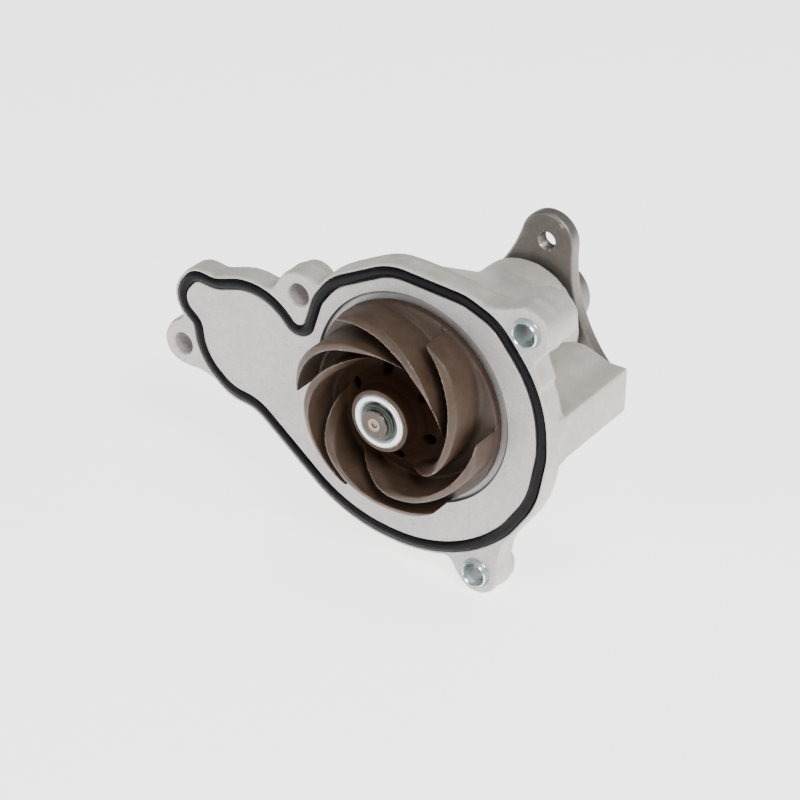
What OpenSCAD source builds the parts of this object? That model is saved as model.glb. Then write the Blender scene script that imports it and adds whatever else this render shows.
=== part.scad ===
// Engine coolant pump: a die-cast housing, a sealed shaft bearing, a face seal,
// a moulded open impeller and a three-arm drive flange.
// Origin: on the shaft axis, in the plane of the machined mounting face.
// +Y points from the impeller to the drive flange, +Z is up.

/* [Mounting flange] */
// Thickness of the flange plate
flange_t = 8; // [6:0.5:10]
// Metal between the seal groove and the edge of the flange
flange_lip = 1; // [0.6:0.1:1.6]
// Width of the seal groove
groove_w = 3.6; // [3.2:0.1:4]
// Depth of the seal groove
groove_depth = 3; // [2:0.1:4]
// Radius of the shallow recess round the impeller's rim
recess_r = 33.1; // [32.5:0.1:34]
// Depth of the shallow recess
recess_depth = 1; // [0.8:0.1:1.2]
// Radius of the pocket behind the impeller
pocket_r = 28; // [27:0.1:29]
// Depth of the pocket behind the impeller
pocket_depth = 5; // [4.5:0.1:5.5]
// Diameter of the four bolt holes
bolt_hole_d = 7; // [6.6:0.1:7.2]
// Radius of the ears round the bolt holes
ear_r = 7.1; // [6.8:0.1:7.6]

/* [Flange seal] */
// Width of the rubber seal
seal_w = 3; // [2.4:0.1:3.1]
// Height that the seal stands proud of the flange
seal_proud = 0.6; // [0.3:0.1:1]

/* [Locating sleeves] */
// Outer diameter of a sleeve where it stands out of the flange
sleeve_d = 8.2; // [8:0.1:8.4]
// Outer diameter of a sleeve where it is pressed into the flange
sleeve_press_d = 8.6; // [8.6:0.1:9]
// Length of a sleeve
sleeve_l = 8.2; // [7.4:0.1:9]
// Length of sleeve that stands out of the flange
sleeve_proud = 1.7; // [1.4:0.1:2.4]

/* [Bearing housing] */
// Outer radius of the barrel
barrel_r = 18.8; // [18.2:0.1:20]
// Rear end of the barrel
barrel_end = 61.5; // [61:0.5:63]
// Radius of the neck where it leaves the flange
neck_r = 39.5; // [38:0.5:40]
// Length of the boss round the upper sleeve
upper_boss_l = 16; // [14:0.5:18]
// Length of the boss round the lower sleeve
lower_boss_l = 11; // [9:0.5:12]
// Place along the shaft where the neck meets the barrel
neck_end = 48; // [46:0.5:52]
// Outer face of the side lug
lug_x = 47; // [46:0.5:48]
// Rear end of the side lug
lug_end = 42; // [38:0.5:44]

/* [Impeller] */
// Radius of the impeller
impeller_r = 31.2; // [30:0.1:31.6]
// Number of blades
blade_count = 6; // [5:1:7]
// Thickness of a blade
blade_t = 2.3; // [1.8:0.1:2.6]
// Angle that each blade wraps round the hub
blade_wrap = 150; // [130:1:155]
// Diameter of the balance holes
balance_d = 3.6; // [3.2:0.1:4.2]

/* [Shaft and bearing] */
// Diameter of the shaft under the impeller
nose_d = 11.8; // [11:0.1:12]
// Diameter of the shaft in the bearing
shaft_d = 16; // [15:0.1:16]
// Outer diameter of the bearing
bearing_d = 30; // [30:0.1:30.4]
// Length of the bearing
bearing_l = 38; // [36:0.5:38]
// Diameter of a ball
ball_d = 5.8; // [5.4:0.1:6]
// Number of balls in a row
ball_count = 9; // [7:1:9]

/* [Drive flange] */
// Thickness of the drive flange
plate_t = 4.5; // [4:0.5:6]
// Radius of the circle through the threaded holes
plate_hole_circle_r = 26; // [25.5:0.1:26.5]
// Thread core diameter of the three holes
plate_hole_d = 5; // [4.8:0.1:5.2]
// Radius of the end of an arm
arm_r = 9.2; // [8.8:0.1:9.4]

/* [Hidden] */
$fn = 96;

// How far a cut runs past the face it opens
over = 1;
// Radial clearance of a running or press fit
fit = 0.02;
// Depth of the chamfer at the mouth of a hole
edge = 0.35;

// Corners of the seal groove's outer edge: x, z and the radius of the corner
groove_corners = [
    [-89.5, 6.5, 8.5], [-79.6, 18.1, 7.4], [-71, 17, 8.4], [-52, 23, 21],
    [-39, 9, 2.5], [-34.5, 22.5, 10.5], [-28.5, 30.5, 20.5], [-7.5, 41, 20],
    [18.5, 39, 18.5], [29.5, 34.5, 18], [45, 15.5, 41], [46, -4, 21.5],
    [43, -21, 31], [34.5, -33.5, 22], [15.5, -52.5, 49.5], [-24, -49, 49],
    [-57, -22.5, 14], [-67, -21.5, 16], [-79, -11.5, 19.5], [-80, -1, 3]];
// Centres of the bolt holes
left_hole = [-84.5, -9.2];
top_hole = [-39.6, 21.3];
upper_hole = [38.3, 33.5];
lower_hole = [23.4, -50.9];
// Middle of the round part of the side lug, and its radius
lug_at = [31, -2];
lug_r = 11.3;
// Bottom and top of the square part of the side lug
lug_bottom = -8.4;
lug_top = 6.2;
// Wall round the hollow in the lug, and the depth of the hollow
lug_wall = 3.3;
lug_hollow = 26;
// Outlines of the webs that join the ears to the plate
left_web = [[-80, 3], [-88.4, -3.3], [-82.5, -16.1], [-74, -17]];
top_web = [[-52, 18], [-44.5, 26.4], [-35, 26.7], [-28, 24]];
upper_web = [[25.8, 37.6], [37, 40.5], [44.5, 30], [41, 25], [43.5, 18], [24, 17]];
lower_web = [[10, -44], [16.6, -53], [30.2, -49], [33, -34]];
upper_boss_web = [[25.8, 37.6], [37, 40.5], [43.2, 28.6], [30, 21], [24, 17]];
// Middle of the web behind the upper ear
web_root = [31, 30];
// Ribs behind the wing: where each ends, how high and how wide they are
rib_ends = [[-74, 10], [-80, -4], [-62, -12]];
rib_h = 6;
rib_w = 3.2;
rib_start = 20;
// Radius of the spot face for a bolt head behind the upper ear
spot_face_r = 8.2;
// Weep hole: its place along the shaft, its diameter and its lower end
weep_y = 21.5;
weep_d = 4.5;
weep_start = -44;
// Radius of the passage between the face seal and the bearing
passage_r = 12;

// Stations along the shaft
nose_start = -18;
insert_start = -16;
rim_back = 0.3;
impeller_back = 1.2;
boot_start = 1.6;
seal_face = 6.2;
cup_end = 19;
shoulder = 21.5;
bearing_start = 23;
bearing_end = bearing_start + bearing_l;
plate_start = barrel_end + 2;
plate_end = plate_start + plate_t;
collar_end = 81;
shaft_end = 79.5;

// Radii of the shaft and of what surrounds it
nose_r = nose_d / 2;
shaft_r = shaft_d / 2;
bearing_r = bearing_d / 2;
cup_r = 14;
collar_r = 11;
insert_r = 8.2;
// The ball rows
ball_r = ball_d / 2;
pitch_r = 10.65;
race_gap = 0.05;
front_row_y = bearing_start + 10;
rear_row_y = bearing_end - 10;
// Angles of the drive flange's arms, and the radius of its waists
arm_angles = [79, 199, 319];
waist_r = 17.6;
// Angle of the first blade's tip, and the place of the first balance hole
blade_start = 4.5;
balance_at = 13.6;
balance_angle = 38;

// ---------- functions ----------

function unit(v) = v / norm(v);
function right_of(v) = [v[1], -v[0]];
function xy(c) = [c[0], c[1]];
function heading(v) = atan2(v[1], v[0]);

// Points of one rounded corner of a clockwise outline, moved outward by d
function corner_arc(before, at, after, d, step = 6) =
    let (
        u = unit(xy(at) - xy(before)),
        v = unit(xy(after) - xy(at)),
        nu = -right_of(u),
        nv = -right_of(v),
        tip = xy(at) + d * (nu + nv) / (1 + nu * nv),
        convex = u[0] * v[1] - u[1] * v[0] < 0,
        side = convex ? 1 : -1,
        r = max(at[2] + side * d, 0.1),
        turn = acos(min(1, max(-1, u * v))),
        centre = tip - u * r * tan(turn / 2) - side * nu * r,
        start = heading(side * nu),
        count = max(2, ceil(turn / step)))
    [for (i = [0 : count]) centre + r * [cos(start - side * turn * i / count),
        sin(start - side * turn * i / count)]];

// A clockwise outline with rounded corners, moved outward by d
function rounded_outline(corners, d = 0) =
    let (n = len(corners))
    [for (i = [0 : n - 1])
        each corner_arc(corners[(i + n - 1) % n], corners[i], corners[(i + 1) % n], d)];

function polar(r, a) = [r * cos(a), r * sin(a)];
function rotated(v, a) = [v[0] * cos(a) - v[1] * sin(a), v[0] * sin(a) + v[1] * cos(a)];

// Radius of a blade's middle line, a fraction s of the way from root to tip
blade_root_r = 13.4;
function blade_radius(s) = blade_root_r + (impeller_r - blade_root_r) * s;
function blade_point(s) = polar(blade_radius(s), blade_wrap * (s - 1));
function blade_side(s, side) =
    let (along = unit(blade_point(s + 0.005) - blade_point(s - 0.005)))
    blade_point(s) + side * blade_t / 2 * min(1, 0.35 + 4 * s) * right_of(along);

// ---------- shape helpers ----------

// Extrudes an x-z outline from y0 to y1
module slab_y(y0, y1) {
    translate([0, y1, 0]) rotate([90, 0, 0]) linear_extrude(y1 - y0) children();
}

// A cylinder along Y from y0 to y1
module rod_y(r, y0, y1, at = [0, 0]) {
    translate([at[0], y0, at[1]]) rotate([-90, 0, 0]) cylinder(r = r, h = y1 - y0);
}

// A cone frustum along Y
module cone_y(r0, r1, y0, y1, at = [0, 0]) {
    translate([at[0], y0, at[1]]) rotate([-90, 0, 0])
        cylinder(r1 = r0, r2 = r1, h = y1 - y0);
}

// Turns a radius-station outline round the shaft axis
module turned(points) {
    rotate([-90, 0, 0]) rotate_extrude() polygon(points);
}

// A plain ring round the shaft axis
module ring(r_in, r_out, y0, y1) {
    turned([[r_in, y0], [r_out, y0], [r_out, y1], [r_in, y1]]);
}

// ---------- housing ----------

module flange_plate() {
    slab_y(0, flange_t) polygon(rounded_outline(groove_corners, flange_lip));
    rod_y(ear_r, 0, flange_t, left_hole);
    rod_y(ear_r, 0, flange_t, top_hole);
    rod_y(ear_r, 0, upper_boss_l, upper_hole);
    rod_y(ear_r, 0, lower_boss_l, lower_hole);
    for (web = [left_web, top_web, upper_web, lower_web])
        slab_y(0, flange_t) polygon(web);
    slab_y(flange_t - over, upper_boss_l) polygon(upper_boss_web);
}

// Solid cone behind the impeller chamber
module neck() {
    intersection() {
        turned([[0, flange_t - over], [neck_r, flange_t - over], [neck_r, flange_t],
            [barrel_r, neck_end], [0, neck_end]]);
        slab_y(0, neck_end) union() {
            reach = 60;
            rib = 4;
            // Full between the ears, and ribs over the rest
            polygon(concat([[0, 0]], [for (a = [150 : -12 : -54]) polar(reach, a)]));
            for (a = [178, 206, 234, 262, 290])
                rotate(a) translate([0, -rib / 2]) square([reach, rib]);
        }
    }
    // Metal behind the recess
    ring(0, recess_r + 0.9, flange_t - over, flange_t + 4);
}

// Web from the upper ear back to the barrel
module ear_web() {
    hull() {
        rod_y(ear_r, 2, upper_boss_l - 4, web_root, $fn = 32);
        rod_y(barrel_r - 0.2, neck_end - 8, neck_end, $fn = 48);
    }
}

// Lug on the side of the barrel
module side_lug() {
    slab_y(flange_t - over, lug_end) polygon([[lug_x, lug_bottom], [lug_x, lug_top - 1],
        [lug_x - 1, lug_top], [30, lug_top], [10, 4], [10, lug_bottom]]);
    rod_y(lug_r, flange_t - over, lug_end, lug_at);
}

module wing_ribs() {
    for (end = rib_ends)
        slab_y(flange_t - over, flange_t + rib_h) rotate(heading(end))
            translate([rib_start, -rib_w / 2]) square([norm(end) - rib_start, rib_w]);
    rod_y(ear_r, 0, flange_t + 3, left_hole);
    rod_y(ear_r, 0, flange_t + 3, top_hole);
}

module seal_groove() {
    difference() {
        slab_y(-over, groove_depth) polygon(rounded_outline(groove_corners, 0));
        slab_y(-2 * over, groove_depth + over)
            polygon(rounded_outline(groove_corners, -groove_w));
    }
}

module bolt_holes() {
    for (hole = [left_hole, top_hole, upper_hole, lower_hole])
        rod_y(bolt_hole_d / 2, -over, 40, hole);
    for (hole = [left_hole, top_hole])
        cone_y(bolt_hole_d / 2 + 2 * edge, bolt_hole_d / 2, -edge, edge, hole);
    for (hole = [upper_hole, lower_hole]) {
        rod_y(sleeve_press_d / 2 + fit, -over, sleeve_l - sleeve_proud, hole);
        cone_y(sleeve_press_d / 2 + 2 * edge, sleeve_press_d / 2, -edge, edge, hole);
    }
    rod_y(spot_face_r, upper_boss_l, barrel_end, upper_hole);
}

module shaft_bores() {
    rod_y(recess_r, -over, recess_depth);
    rod_y(pocket_r, 0, pocket_depth);
    rod_y(cup_r + fit, 0, cup_end);
    rod_y(passage_r, 0, bearing_start + over);
    rod_y(bearing_r + fit, bearing_start, barrel_end + over);
    cone_y(bearing_r, bearing_r + 1, barrel_end - 1, barrel_end + 0.1);
    // Weep hole from the chamber between the seal and the bearing
    translate([0, weep_y, weep_start]) cylinder(d = weep_d, h = 40);
}

module housing() {
    color([0.76, 0.75, 0.73]) difference() {
        union() {
            flange_plate();
            neck();
            rod_y(barrel_r, 10, barrel_end);
            ear_web();
            side_lug();
            wing_ribs();
        }
        seal_groove();
        bolt_holes();
        shaft_bores();
        // Hollow that is cored into the lug from the rear
        rod_y(lug_r - lug_wall, lug_end - lug_hollow, lug_end + over, lug_at);
    }
}

module flange_seal() {
    inset = (groove_w - seal_w) / 2;
    color([0.09, 0.09, 0.1]) difference() {
        slab_y(-seal_proud, groove_depth - 0.1) polygon(rounded_outline(groove_corners, -inset));
        slab_y(-over - seal_proud, groove_depth + over)
            polygon(rounded_outline(groove_corners, -inset - seal_w));
    }
}

// The free end guides the mating part, and the wider end is pressed into the flange
module locating_sleeve(hole) {
    chamfer = 0.4;
    front = -sleeve_proud;
    back = sleeve_l - sleeve_proud - 0.05;
    difference() {
        union() {
            cone_y(sleeve_d / 2 - chamfer, sleeve_d / 2, front, front + chamfer, hole);
            rod_y(sleeve_d / 2, front + chamfer, over, hole);
            rod_y(sleeve_press_d / 2, 0, back - chamfer, hole);
            cone_y(sleeve_press_d / 2, sleeve_press_d / 2 - chamfer, back - chamfer, back, hole);
        }
        rod_y(bolt_hole_d / 2, front - over, back + over, hole);
    }
}

module upper_locating_sleeve() {
    color([0.72, 0.77, 0.76]) locating_sleeve(upper_hole);
}

module lower_locating_sleeve() {
    color([0.72, 0.77, 0.76]) locating_sleeve(lower_hole);
}

// ---------- impeller ----------

// One blade: its plan shape, cut to the height that it has at each radius
module blade() {
    steps = 30;
    slab_y(-20, 0) polygon(concat(
        [for (i = [0 : steps]) blade_side(i / steps, 1)],
        [for (i = [steps : -1 : 0]) blade_side(i / steps, -1)]));
}

module impeller() {
    color([0.38, 0.3, 0.26]) {
        difference() {
            turned([[insert_r + fit, -15.5], [9.7, -15.5], [10.2, -11.5], [12, -9.2],
                [13.5, -8.5], [20, -6.2], [30.9, -2.6], [impeller_r, -2.2],
                [impeller_r, rim_back], [28.6, rim_back], [27.6, -0.7], [15, -5], [12.2, -5],
                [12.2, impeller_back], [insert_r + fit, impeller_back]]);
            for (k = [0 : blade_count - 1])
                rod_y(balance_d / 2, -14, 3,
                    polar(balance_at, balance_angle + k * 360 / blade_count));
        }
        intersection() {
            union() for (k = [0 : blade_count - 1])
                rotate([0, -blade_start - k * 360 / blade_count, 0]) blade();
            turned([[13, -6], [16.6, -8.6], [19.4, -13.9], [21.4, -16.8], [22.8, -17.6],
                [25.3, -17.2], [28.1, -15.4], [impeller_r, -13.1], [impeller_r, -1.5],
                [20, -4.8], [13, -5.6]]);
        }
    }
}

module impeller_insert() {
    color([0.85, 0.86, 0.87]) turned([[nose_r + fit, insert_start + 0.8],
        [nose_r + fit + 0.8, insert_start], [insert_r - 0.3, insert_start],
        [insert_r, insert_start + 0.3], [insert_r, impeller_back], [nose_r + fit, impeller_back]]);
}

// ---------- shaft ----------

module shaft() {
    color([0.55, 0.53, 0.5]) difference() {
        turned([[0, nose_start], [nose_r - 1, nose_start], [nose_r, nose_start + 1],
            [nose_r, shoulder], [shaft_r - 1, shoulder], [shaft_r, shoulder + 1],
            [shaft_r, shaft_end - 1],
            [shaft_r - 1, shaft_end], [0, shaft_end]]);
        // Grooves that the balls run in
        for (y = [front_row_y, rear_row_y])
            rotate([-90, 0, 0]) rotate_extrude()
                translate([pitch_r, y]) circle(r = ball_r + race_gap);
        // Centre drillings
        cone_y(1.7, 0, nose_start - 0.01, nose_start + 1.7);
        cone_y(0, 2.2, shaft_end - 2.2, shaft_end + 0.01);
    }
}

// ---------- bearing ----------

module bearing_outer_ring() {
    color([0.7, 0.7, 0.71]) difference() {
        turned([[13.2, bearing_start], [bearing_r - 0.6, bearing_start],
            [bearing_r, bearing_start + 0.6], [bearing_r, bearing_end - 0.6],
            [bearing_r - 0.6, bearing_end], [13.2, bearing_end]]);
        for (y = [front_row_y, rear_row_y])
            rotate([-90, 0, 0]) rotate_extrude()
                translate([pitch_r, y]) circle(r = ball_r + race_gap);
    }
}

module ball_row(y) {
    for (k = [0 : ball_count - 1])
        let (at = polar(pitch_r, k * 360 / ball_count))
            translate([at[0], y, at[1]]) sphere(r = ball_r);
}

// Crown cage: a ring behind the balls with a pocket for each
module ball_cage(y, back) {
    difference() {
        ring(9.5, 12, min(y - back * 1.2, y + back * 4.2), max(y - back * 1.2, y + back * 4.2));
        for (k = [0 : ball_count - 1])
            rotate([0, -k * 360 / ball_count, 0]) translate([8, y, 0]) rotate([0, 90, 0])
                cylinder(r = ball_r + 0.1, h = 6);
    }
}

module front_ball_row() {
    color([0.82, 0.82, 0.83]) ball_row(front_row_y);
}

module rear_ball_row() {
    color([0.82, 0.82, 0.83]) ball_row(rear_row_y);
}

module front_ball_cage() {
    color([0.75, 0.68, 0.5]) ball_cage(front_row_y, 1);
}

module rear_ball_cage() {
    color([0.75, 0.68, 0.5]) ball_cage(rear_row_y, -1);
}

module front_bearing_seal() {
    color([0.12, 0.12, 0.13]) ring(shaft_r + 0.1, 13.1, bearing_start + 0.8, bearing_start + 2.2);
}

module rear_bearing_seal() {
    color([0.12, 0.12, 0.13]) ring(shaft_r + 0.1, 13.1, bearing_end - 2.2, bearing_end - 0.8);
}

// ---------- face seal ----------

module seal_cup() {
    color([0.78, 0.76, 0.7]) turned([[13.2, pocket_depth - 0.8], [15.8, pocket_depth - 0.8],
        [15.8, pocket_depth - 0.05], [cup_r, pocket_depth - 0.05], [cup_r, cup_end - 0.1],
        [8.6, cup_end - 0.1], [8.6, cup_end - 0.9], [13.2, cup_end - 0.9]]);
}

module carbon_ring() {
    color([0.16, 0.16, 0.17]) turned([[8, seal_face + 0.05], [10.4, seal_face + 0.05],
        [10.4, seal_face + 1.6], [11.4, seal_face + 1.6], [11.4, seal_face + 4.6],
        [8, seal_face + 4.6]]);
}

module spring_retainer() {
    color([0.74, 0.72, 0.66]) turned([[11.5, 9], [12.9, 9], [12.9, 10], [11.5, 10]]);
}

module seal_bellows() {
    color([0.1, 0.1, 0.11]) turned([[8, 10.85], [11, 10.85], [11, 12], [9.6, 13.2], [9.6, 15.4],
        [10.9, 16.6], [10.9, 18], [8.3, 18], [8.3, 17], [9.6, 16.6], [8.4, 15.6], [8.4, 13],
        [9.4, 12.2], [8, 12]]);
}

// The coil spring round the bellows
spring_r = 12.2;
wire_r = 0.55;
spring_turns = 3.5;
module seal_spring() {
    sides = 6;
    rings = 64;
    y0 = 10.7;
    y1 = 17.4;
    points = [for (i = [0 : rings]) let (a = 360 * spring_turns * i / rings)
        for (j = [0 : sides - 1]) let (b = 360 * j / sides)
            [(spring_r + wire_r * cos(b)) * cos(a), y0 + (y1 - y0) * i / rings + wire_r * sin(b),
                (spring_r + wire_r * cos(b)) * sin(a)]];
    skin = [for (i = [0 : rings - 1]) for (j = [0 : sides - 1])
        let (p = i * sides + j, q = i * sides + (j + 1) % sides)
            each [[p, p + sides, q + sides], [p, q + sides, q]]];
    caps = [[for (j = [0 : sides - 1]) j],
        [for (j = [sides - 1 : -1 : 0]) rings * sides + j]];
    color([0.7, 0.71, 0.72]) polyhedron(points, concat(skin, caps));
}

module mating_ring() {
    color([0.3, 0.3, 0.32]) ring(7.5, 11, boot_start + 1.1, seal_face);
}

module mating_ring_boot() {
    color([0.1, 0.1, 0.11]) turned([[nose_r + fit, boot_start], [11.6, boot_start],
        [11.6, seal_face - 1], [11.05, seal_face - 1], [11.05, boot_start + 1.05],
        [7.45, boot_start + 1.05], [7.45, seal_face - 0.4], [nose_r + fit, seal_face - 0.4]]);
}

module slinger() {
    color([0.6, 0.6, 0.6]) turned([[nose_r + fit, shoulder - 1.8], [10.6, shoulder - 1.8],
        [11.2, shoulder - 0.9], [10.8, shoulder - 0.3], [9.9, shoulder - 1],
        [nose_r + fit, shoulder - 1]]);
}

// ---------- drive flange ----------

// Three arms, and between them waists whose arcs touch the arms' round ends
module plate_outline() {
    from_waist = arm_r - waist_r;
    waist_centre_r = (pow(plate_hole_circle_r, 2) - pow(from_waist, 2))
        / (plate_hole_circle_r + 2 * from_waist);
    waist_fillet_r = waist_centre_r - waist_r;
    polygon([for (a = arm_angles)
        let (
            end = polar(plate_hole_circle_r, a),
            waist = polar(waist_centre_r, a + 60),
            swing = heading(rotated(waist - end, -a)),
            half = 180 - abs(heading(rotated(end - waist, -a - 60))))
        each concat(
            [for (i = [0 : 16]) end + polar(arm_r, a - swing + 2 * swing * i / 16)],
            [for (i = [1 : 9]) waist + polar(waist_fillet_r,
                a + 240 + half - 2 * half * i / 10)])]);
}

module drive_flange() {
    color([0.48, 0.46, 0.44]) difference() {
        union() {
            slab_y(plate_start, plate_end) plate_outline();
            turned([[shaft_r - 1, plate_end - 2], [12.6, plate_end - 2], [12.6, plate_end + 0.4],
                [collar_r, plate_end + 1.5], [collar_r, collar_end - 0.8],
                [collar_r - 0.8, collar_end], [shaft_r - 1, collar_end]]);
        }
        rod_y(shaft_r + fit, plate_start - over, collar_end + over);
        for (a = arm_angles)
            rod_y(plate_hole_d / 2, plate_start - over, plate_end + over,
                polar(plate_hole_circle_r, a));
        for (a = arm_angles)
            cone_y(plate_hole_d / 2 + 1, plate_hole_d / 2 - 0.2, plate_start - 0.2,
                plate_start + 1, polar(plate_hole_circle_r, a));
    }
}

housing();
flange_seal();
upper_locating_sleeve();
lower_locating_sleeve();
impeller();
impeller_insert();
shaft();
drive_flange();
bearing_outer_ring();
front_ball_row();
rear_ball_row();
front_ball_cage();
rear_ball_cage();
front_bearing_seal();
rear_bearing_seal();
seal_cup();
seal_bellows();
seal_spring();
spring_retainer();
carbon_ring();
mating_ring();
mating_ring_boot();
slinger();
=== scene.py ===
import math

import bmesh
import bpy
import numpy as np
from mathutils import Matrix, Vector


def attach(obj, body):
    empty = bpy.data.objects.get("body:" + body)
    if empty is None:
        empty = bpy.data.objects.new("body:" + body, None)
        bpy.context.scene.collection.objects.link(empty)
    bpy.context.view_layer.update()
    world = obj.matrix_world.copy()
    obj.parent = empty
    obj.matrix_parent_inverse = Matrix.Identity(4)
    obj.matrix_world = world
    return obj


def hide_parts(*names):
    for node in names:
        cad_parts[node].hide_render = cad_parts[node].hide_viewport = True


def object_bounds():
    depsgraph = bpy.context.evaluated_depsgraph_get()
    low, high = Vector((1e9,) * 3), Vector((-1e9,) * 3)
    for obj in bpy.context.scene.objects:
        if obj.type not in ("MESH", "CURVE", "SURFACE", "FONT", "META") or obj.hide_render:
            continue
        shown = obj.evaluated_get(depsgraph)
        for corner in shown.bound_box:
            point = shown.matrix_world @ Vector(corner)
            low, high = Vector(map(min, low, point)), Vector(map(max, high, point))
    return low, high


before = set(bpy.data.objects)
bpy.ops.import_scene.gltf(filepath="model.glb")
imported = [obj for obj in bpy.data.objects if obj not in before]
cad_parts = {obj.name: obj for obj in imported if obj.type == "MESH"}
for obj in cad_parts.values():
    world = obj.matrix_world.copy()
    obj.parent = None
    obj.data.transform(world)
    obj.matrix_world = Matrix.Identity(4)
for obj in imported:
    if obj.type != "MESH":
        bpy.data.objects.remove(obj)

cad_box = [list(corner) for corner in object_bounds()]

MM = 0.001

# ---------- sizes, in millimetres, as in the CAD ----------

FLANGE_T = 8.0
LIP = 1.0
GROOVE_W = 3.6
GROOVE_DEPTH = 3.0
RECESS_R = 33.1
RECESS_DEPTH = 1.0
POCKET_R = 28.0
POCKET_DEPTH = 5.0
BOLT_R = 3.5
EAR_R = 7.1
SEAL_W = 3.0
SEAL_PROUD = 0.6
SLEEVE_R = 4.1
SLEEVE_PRESS_R = 4.3
SLEEVE_L = 8.2
SLEEVE_PROUD = 1.7
BARREL_R = 18.8
BARREL_END = 61.5
NECK_R = 39.5
NECK_END = 48.0
UPPER_BOSS_L = 16.0
LOWER_BOSS_L = 11.0
LUG_X = 47.0
LUG_END = 42.0
LUG_AT = (31.0, -2.0)
LUG_R = 11.3
LUG_BOTTOM = -8.4
LUG_TOP = 6.2
LUG_WALL = 3.3
LUG_HOLLOW = 26.0
CUP_R = 14.0
CUP_END = 19.0
BEARING_START = 23.0
BEARING_R = 15.0
PASSAGE_R = 12.0
SPOT_FACE_R = 8.2
WEEP_Y = 21.5
WEEP_R = 2.25
WEB_ROOT = (31.0, 30.0)

LEFT_HOLE = (-84.5, -9.2)
TOP_HOLE = (-39.6, 21.3)
UPPER_HOLE = (38.3, 33.5)
LOWER_HOLE = (23.4, -50.9)
WING_HOLES = (LEFT_HOLE, TOP_HOLE)
SLEEVE_HOLES = (UPPER_HOLE, LOWER_HOLE)

# Corners of the seal groove's outer edge: x, z and the radius of the corner
GROOVE_CORNERS = [
    (-89.5, 6.5, 8.5), (-79.6, 18.1, 7.4), (-71, 17, 8.4), (-52, 23, 21),
    (-39, 9, 2.5), (-34.5, 22.5, 10.5), (-28.5, 30.5, 20.5), (-7.5, 41, 20),
    (18.5, 39, 18.5), (29.5, 34.5, 18), (45, 15.5, 41), (46, -4, 21.5),
    (43, -21, 31), (34.5, -33.5, 22), (15.5, -52.5, 49.5), (-24, -49, 49),
    (-57, -22.5, 14), (-67, -21.5, 16), (-79, -11.5, 19.5), (-80, -1, 3)]
EAR_WEBS = [
    [(-80, 3), (-88.4, -3.3), (-82.5, -16.1), (-74, -17)],
    [(-52, 18), (-44.5, 26.4), (-35, 26.7), (-28, 24)],
    [(25.8, 37.6), (37, 40.5), (44.5, 30), (41, 25), (43.5, 18), (24, 17)],
    [(10, -44), (16.6, -53), (30.2, -49), (33, -34)]]
# Fills the corner between the top ear and the groove's notch
NOTCH_AT = (-40.03, 13.79)
NOTCH_R = 2.1
UPPER_BOSS_WEB = [(25.8, 37.6), (37, 40.5), (43.2, 28.6), (30, 21), (24, 17)]
RIB_ENDS = [(-74, 10), (-80, -4), (-62, -12)]
RIB_H = 6.0
RIB_W = 3.2
RIB_START = 20.0
# The neck is whole on this side of the shaft, and ribs carry it on at these angles
NECK_SIDE = (-54, 150)
NECK_RIBS = (178, 206, 234, 262, 290)
NECK_RIB_HALF = 2
# The casting's usual fillet and edge rounding, and where its bosses start in the flange
CAST_FILLET = 2.5
CAST_EDGE = 0.8
BOSS_ROOT = FLANGE_T - 2

IMPELLER_R = 31.2
BLADE_COUNT = 6
BLADE_T = 2.3
BLADE_WRAP = 150.0
BLADE_ROOT_R = 13.4
BLADE_START = 4.5
# Height of the blades' tops over their radius
BLADE_TOP = [(13, -5), (16.6, -8.6), (19.4, -13.9), (21.4, -16.8), (22.8, -17.6),
             (25.3, -17.2), (28.1, -15.4), (31.2, -13.1), (33, -12)]
BALANCE_R = 1.7
BALANCE_AT = 13.6
BALANCE_START = 38.0
INSERT_R = 8.2
INSERT_START = -16.0
RIM_BACK = 0.3
IMPELLER_BACK = 1.2
NOSE_R = 5.9
NOSE_START = -18.0
SHOULDER = 21.5
SHAFT_R = 8.0
SHAFT_END = 79.5
PITCH_R = 10.65
BALL_GROOVE_R = 2.95
ROW_STATIONS = (33.0, 51.0)

PLATE_START = 63.5
PLATE_END = 68.0
ARM_ANGLES = (79, 199, 319)
ARM_R = 9.2
HOLE_CIRCLE_R = 26.0
THREAD_CORE_R = 2.5
WAIST_R = 17.6
COLLAR_R = 11.0
COLLAR_END = 81.0
FIT = 0.02

# Boxes and steps of the grids that the castings are sampled on
HOUSING_BOX = ((-93.5, -2.5, -60.5), (49.5, 64, 43.5))
HOUSING_STEP = 0.62
IMPELLER_BOX = ((-32, -18.4, -32), (32, 1.9, 32))
IMPELLER_STEP = 0.36
# Triangles that one piece may have
MOST_FACES = 190000

# ---------- outlines ----------


def polar(radius, angle):
    turn = math.radians(angle)
    return np.array([radius * math.cos(turn), radius * math.sin(turn)])


def heading(v):
    return math.degrees(math.atan2(v[1], v[0]))


def corner_arc(before, at, after, d, step=4):
    """Points of one rounded corner of a clockwise outline, moved outward by d."""
    u = np.subtract(at[:2], before[:2])
    v = np.subtract(after[:2], at[:2])
    u, v = u / np.linalg.norm(u), v / np.linalg.norm(v)
    nu, nv = np.array([-u[1], u[0]]), np.array([-v[1], v[0]])
    tip = np.array(at[:2]) + d * (nu + nv) / (1 + nu @ nv)
    side = 1 if u[0] * v[1] - u[1] * v[0] < 0 else -1
    radius = max(at[2] + side * d, 0.1)
    turn = math.degrees(math.acos(min(1, max(-1, u @ v))))
    centre = tip - u * radius * math.tan(math.radians(turn / 2)) - side * nu * radius
    start = heading(side * nu)
    count = max(2, math.ceil(turn / step))
    return [centre + polar(radius, start - side * turn * i / count) for i in range(count + 1)]


def rounded_outline(corners, d=0.0):
    n = len(corners)
    points = []
    for i in range(n):
        points += corner_arc(corners[i - 1], corners[i], corners[(i + 1) % n], d)
    return np.array(points)


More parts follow.
